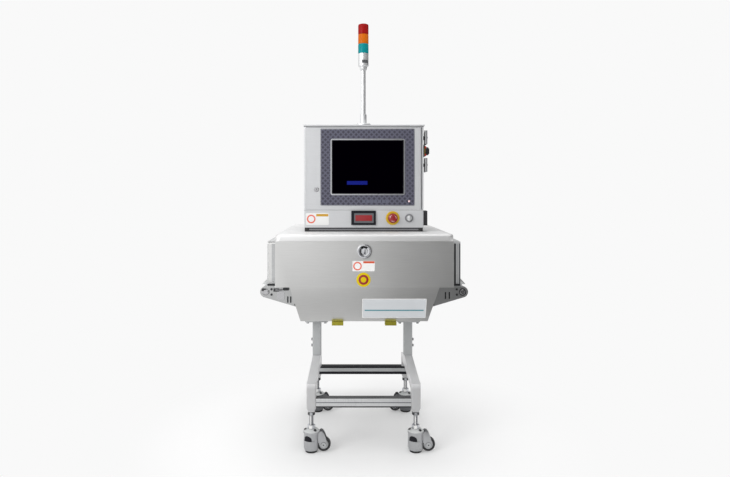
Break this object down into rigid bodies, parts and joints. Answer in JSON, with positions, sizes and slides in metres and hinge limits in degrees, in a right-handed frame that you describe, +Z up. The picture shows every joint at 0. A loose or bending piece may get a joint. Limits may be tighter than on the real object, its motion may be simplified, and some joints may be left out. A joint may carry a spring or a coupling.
{
  "type": "x-ray inspection machine",
  "caption": "Free-standing x-ray inspection machine: belt through a shielded chamber, display cabinet and signal tower above, on a levelling caster stand.",
  "frame": {"origin": "on the floor, below the middle of the machine", "axes": "+X along the conveyor to the outfeed, -Y to the operator, +Z up"},
  "size_m": [0.856, 0.88, 1.8455],
  "materials": {
    "stand_steel": "satin light grey",
    "bright_steel": "polished",
    "sleeve_steel": "satin mid grey",
    "bolt_steel": "satin",
    "brushed_sheet": "fine brushed",
    "cover_sheet": "bead blasted, pale",
    "cabinet_sheet": "fine brushed",
    "dark_plastic": "matte",
    "yellow_zinc": "yellow passivated",
    "lead_sheet": "dull",
    "chrome": "polished",
    "lead_rubber": "matte",
    "plate_steel": "fine brushed",
    "belt_white": "smooth food belt",
    "cast_tank": "cast",
    "anodised": "anodised",
    "dark_metal": "satin black",
    "panel_film": "printed film",
    "screen_glass": "gloss",
    "lamp_red": "gloss",
    "stop_yellow": "gloss",
    "stop_red": "gloss",
    "switch_red": "gloss",
    "tower_parts": "gloss",
    "caster_zinc": "cast zinc",
    "wheel_rubber": "nylon and rubber",
    "foot_rubber": "rubber pad"
  },
  "bodies": {
    "root": {"left_side_frame": "stand_steel", "right_side_frame": "stand_steel", "crossbars": "bright_steel", "post_sleeves": "sleeve_steel", "stand_bolts": "bolt_steel", "caster_stems": "bolt_steel", "chamber_shell": "brushed_sheet", "top_cover": "cover_sheet", "rear_cover": "brushed_sheet", "rear_fan_grille": "dark_plastic", "hinge_lugs": "bolt_steel", "left_tunnel_hood": "brushed_sheet", "right_tunnel_hood": "brushed_sheet", "left_end_plates": "plate_steel", "right_end_plates": "plate_steel", "slider_bed": "plate_steel", "conveyor_belt": "belt_white", "roller_shafts": "bolt_steel", "xray_source": "cast_tank", "beam_collimator": "lead_sheet", "line_detector": "anodised", "power_unit": "dark_plastic", "control_computer": "dark_plastic", "display_cabinet": "cabinet_sheet", "cabinet_lid": "cabinet_sheet", "cabinet_plinth": "dark_metal", "warning_lamp": "lamp_red", "stop_ring": "stop_yellow", "key_collar": "chrome", "side_fittings": "dark_metal", "signal_tower": "tower_parts"},
    "front_door": {"front_door": "brushed_sheet", "door_liner": "lead_sheet", "hinge_blocks": "yellow_zinc", "latch_plate": "chrome"},
    "door_latch": {"latch_barrel": "chrome"},
    "monitor_door": {"monitor_door": "cabinet_sheet", "membrane_panel": "panel_film", "screen": "screen_glass"},
    "cam_lock": {"cam_lock": "chrome"},
    "stop_button": {"stop_button": "stop_red"},
    "key_switch": {"key_switch": "bolt_steel"},
    "main_switch": {"main_switch": "switch_red"},
    "infeed_curtain": {"infeed_curtain": "lead_rubber"},
    "outfeed_curtain": {"outfeed_curtain": "lead_rubber"},
    "drum_motor": {"drum_motor": "bright_steel"},
    "tail_roller": {"tail_roller": "bright_steel"},
    "return_roller": {"return_roller": "bright_steel"},
    "front_left_caster": {"front_left_caster": "caster_zinc"},
    "front_left_wheel": {"front_left_wheel": "wheel_rubber"},
    "front_left_foot": {"front_left_foot": "foot_rubber"},
    "front_right_caster": {"front_right_caster": "caster_zinc"},
    "front_right_wheel": {"front_right_wheel": "wheel_rubber"},
    "front_right_foot": {"front_right_foot": "foot_rubber"},
    "rear_left_caster": {"rear_left_caster": "caster_zinc"},
    "rear_left_wheel": {"rear_left_wheel": "wheel_rubber"},
    "rear_left_foot": {"rear_left_foot": "foot_rubber"},
    "rear_right_caster": {"rear_right_caster": "caster_zinc"},
    "rear_right_wheel": {"rear_right_wheel": "wheel_rubber"},
    "rear_right_foot": {"rear_right_foot": "foot_rubber"}
  },
  "joints": [
    {"name": "front_door_drop", "type": "hinge", "parent": "root", "child": "front_door", "pos_m": [0, -0.346, 0.572], "axis": [1, 0, 0], "range_deg": [0, 90]},
    {"name": "door_latch_turn", "type": "hinge", "parent": "front_door", "child": "door_latch", "pos_m": [0, -0.42, 0.876], "axis": [0, -1, 0], "range_deg": [0, 90]},
    {"name": "monitor_door_swing", "type": "hinge", "parent": "root", "child": "monitor_door", "pos_m": [0.236, -0.294, 1.213], "axis": [0, 0, 1], "range_deg": [0, 105]},
    {"name": "cam_lock_turn", "type": "hinge", "parent": "monitor_door", "child": "cam_lock", "pos_m": [-0.199, -0.3, 1.124], "axis": [0, 1, 0], "range_deg": [0, 90]},
    {"name": "stop_button_press", "type": "slide", "parent": "root", "child": "stop_button", "axis": [0, 1, 0], "range_m": [0, 0.005], "stiffness_N_per_m": 600},
    {"name": "key_switch_turn", "type": "hinge", "parent": "root", "child": "key_switch", "pos_m": [0.19, -0.3, 1.004], "axis": [0, 1, 0], "range_deg": [0, 60]},
    {"name": "main_switch_turn", "type": "hinge", "parent": "root", "child": "main_switch", "pos_m": [0.259, -0.25, 1.288], "axis": [1, 0, 0], "range_deg": [0, 90]},
    {"name": "infeed_curtain_swing", "type": "hinge", "parent": "root", "child": "infeed_curtain", "pos_m": [-0.39, 0, 0.884], "axis": [0, 1, 0], "range_deg": [-45, 45]},
    {"name": "outfeed_curtain_swing", "type": "hinge", "parent": "root", "child": "outfeed_curtain", "pos_m": [0.39, 0, 0.884], "axis": [0, 1, 0], "range_deg": [-45, 45]},
    {"name": "drum_motor_spin", "type": "hinge", "parent": "root", "child": "drum_motor", "pos_m": [0.405, 0, 0.702], "axis": [0, 1, 0], "continuous": true},
    {"name": "tail_roller_spin", "type": "hinge", "parent": "root", "child": "tail_roller", "pos_m": [-0.405, 0, 0.702], "axis": [0, 1, 0], "continuous": true},
    {"name": "return_roller_spin", "type": "hinge", "parent": "root", "child": "return_roller", "pos_m": [-0.15, 0, 0.6647], "axis": [0, 1, 0], "continuous": true},
    {"name": "front_left_swivel", "type": "hinge", "parent": "root", "child": "front_left_caster", "pos_m": [-0.224, -0.24, 0.1], "axis": [0, 0, 1], "continuous": true},
    {"name": "front_left_wheel_spin", "type": "hinge", "parent": "front_left_caster", "child": "front_left_wheel", "pos_m": [-0.171, -0.24, 0.033], "axis": [0, 1, 0], "continuous": true},
    {"name": "front_left_foot_lift", "type": "slide", "parent": "front_left_caster", "child": "front_left_foot", "axis": [0, 0, 1], "range_m": [0, 0.006]},
    {"name": "front_right_swivel", "type": "hinge", "parent": "root", "child": "front_right_caster", "pos_m": [0.224, -0.24, 0.1], "axis": [0, 0, 1], "continuous": true},
    {"name": "front_right_wheel_spin", "type": "hinge", "parent": "front_right_caster", "child": "front_right_wheel", "pos_m": [0.277, -0.24, 0.033], "axis": [0, 1, 0], "continuous": true},
    {"name": "front_right_foot_lift", "type": "slide", "parent": "front_right_caster", "child": "front_right_foot", "axis": [0, 0, 1], "range_m": [0, 0.006]},
    {"name": "rear_left_swivel", "type": "hinge", "parent": "root", "child": "rear_left_caster", "pos_m": [-0.224, 0.24, 0.1], "axis": [0, 0, 1], "continuous": true},
    {"name": "rear_left_wheel_spin", "type": "hinge", "parent": "rear_left_caster", "child": "rear_left_wheel", "pos_m": [-0.171, 0.24, 0.033], "axis": [0, 1, 0], "continuous": true},
    {"name": "rear_left_foot_lift", "type": "slide", "parent": "rear_left_caster", "child": "rear_left_foot", "axis": [0, 0, 1], "range_m": [0, 0.006]},
    {"name": "rear_right_swivel", "type": "hinge", "parent": "root", "child": "rear_right_caster", "pos_m": [0.224, 0.24, 0.1], "axis": [0, 0, 1], "continuous": true},
    {"name": "rear_right_wheel_spin", "type": "hinge", "parent": "rear_right_caster", "child": "rear_right_wheel", "pos_m": [0.171, 0.24, 0.033], "axis": [0, 1, 0], "continuous": true},
    {"name": "rear_right_foot_lift", "type": "slide", "parent": "rear_right_caster", "child": "rear_right_foot", "axis": [0, 0, 1], "range_m": [0, 0.006]}
  ],
  "couplings": [
    {"joint": "tail_roller_spin", "follows": "drum_motor_spin", "ratio": 1},
    {"joint": "return_roller_spin", "follows": "drum_motor_spin", "ratio": -1.3133}
  ]
}
